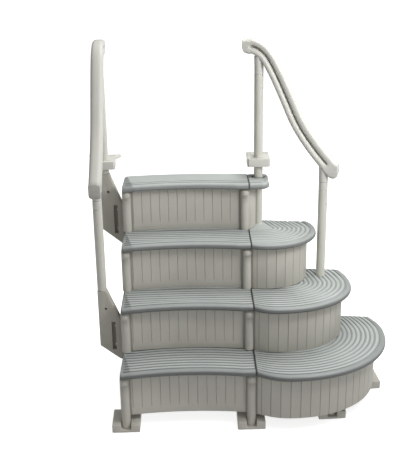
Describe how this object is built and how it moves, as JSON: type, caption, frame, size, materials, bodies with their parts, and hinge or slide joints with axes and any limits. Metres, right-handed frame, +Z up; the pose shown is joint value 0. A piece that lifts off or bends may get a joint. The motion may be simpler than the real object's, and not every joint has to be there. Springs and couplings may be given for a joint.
{
  "type": "pool handrail",
  "caption": "Curved pool entry steps with a fan-shaped add-on, and a tubular-post handrail with a deck flange on each side.",
  "frame": {"origin": "on the pool floor, at the underside of the centre front foot, below the axis of the bottom centre column", "axes": "+Z up; -Y is the front, where a swimmer steps on; +X is the add-on's side, to the swimmer's right when climbing"},
  "size_m": [1.588, 0.878, 1.8796],
  "materials": {
    "tread_plastic": "matt grey-green moulded plastic with raised anti-slip ridges",
    "warm_plastic": "matt warm grey moulded plastic",
    "rail_plastic": "light warm grey moulded plastic with a soft sheen",
    "tube_plastic": "light warm grey plastic tube",
    "bracket_plastic": "darker grey-brown moulded plastic",
    "steel": "plain stainless steel"
  },
  "bodies": {
    "steps": {"tread_left_1": "tread_plastic", "riser_left_1": "warm_plastic", "tread_right_1": "tread_plastic", "riser_right_1": "warm_plastic", "column_left_1": "warm_plastic", "column_centre_1": "warm_plastic", "tread_left_2": "tread_plastic", "riser_left_2": "warm_plastic", "tread_right_2": "tread_plastic", "riser_right_2": "warm_plastic", "column_left_2": "warm_plastic", "column_centre_2": "warm_plastic", "tread_left_3": "tread_plastic", "riser_left_3": "warm_plastic", "tread_right_3": "tread_plastic", "riser_right_3": "warm_plastic", "column_left_3": "warm_plastic", "column_centre_3": "warm_plastic", "tread_left_4": "tread_plastic", "riser_left_4": "warm_plastic", "tread_right_4": "tread_plastic", "riser_right_4": "warm_plastic", "column_left_4": "warm_plastic", "column_centre_4": "warm_plastic", "foot_front_left": "warm_plastic", "foot_front_centre": "warm_plastic", "foot_mid_right": "warm_plastic", "foot_corner_right": "warm_plastic", "foot_rear_left": "warm_plastic", "foot_rear_centre": "warm_plastic", "leg_mid_right": "warm_plastic", "leg_corner_right": "warm_plastic", "side_frame_left": "warm_plastic", "side_frame_centre": "warm_plastic", "side_frame_addon": "warm_plastic", "post_socket_right": "warm_plastic", "handrail_left": "rail_plastic", "post_upper_left": "tube_plastic", "post_lower_left": "tube_plastic", "handrail_right": "rail_plastic", "post_upper_right": "tube_plastic", "post_lower_right": "tube_plastic", "bracket_upper": "bracket_plastic", "bracket_bolt_upper_1": "steel", "bracket_bolt_upper_2": "steel", "bracket_lower": "bracket_plastic", "bracket_bolt_lower_1": "steel", "bracket_bolt_lower_2": "steel"},
    "deck_flange_left_body": {"deck_flange_left": "rail_plastic"},
    "deck_flange_right_body": {"deck_flange_right": "rail_plastic"},
    "snap_button_upper_left_body": {"snap_button_upper_left": "steel"},
    "snap_button_lower_left_body": {"snap_button_lower_left": "steel"},
    "snap_button_upper_right_body": {"snap_button_upper_right": "steel"},
    "snap_button_lower_right_body": {"snap_button_lower_right": "steel"}
  },
  "joints": [
    {"name": "deck_flange_left_slide", "type": "slide", "parent": "steps", "child": "deck_flange_left_body", "axis": [0, 0, 1], "range_m": [-0.016, 0.136]},
    {"name": "deck_flange_right_slide", "type": "slide", "parent": "steps", "child": "deck_flange_right_body", "axis": [0, 0, 1], "range_m": [-0.016, 0.136]},
    {"name": "snap_button_upper_left_press", "type": "slide", "parent": "steps", "child": "snap_button_upper_left_body", "axis": [0.3381, 0.9411, 0], "range_m": [0, 0.007], "stiffness_N_per_m": 1500},
    {"name": "snap_button_lower_left_press", "type": "slide", "parent": "steps", "child": "snap_button_lower_left_body", "axis": [0.3381, 0.9411, 0], "range_m": [0, 0.007], "stiffness_N_per_m": 1500},
    {"name": "snap_button_upper_right_press", "type": "slide", "parent": "steps", "child": "snap_button_upper_right_body", "axis": [-0.7955, 0.606, 0], "range_m": [0, 0.007], "stiffness_N_per_m": 1500},
    {"name": "snap_button_lower_right_press", "type": "slide", "parent": "steps", "child": "snap_button_lower_right_body", "axis": [-0.7955, 0.606, 0], "range_m": [0, 0.007], "stiffness_N_per_m": 1500}
  ]
}
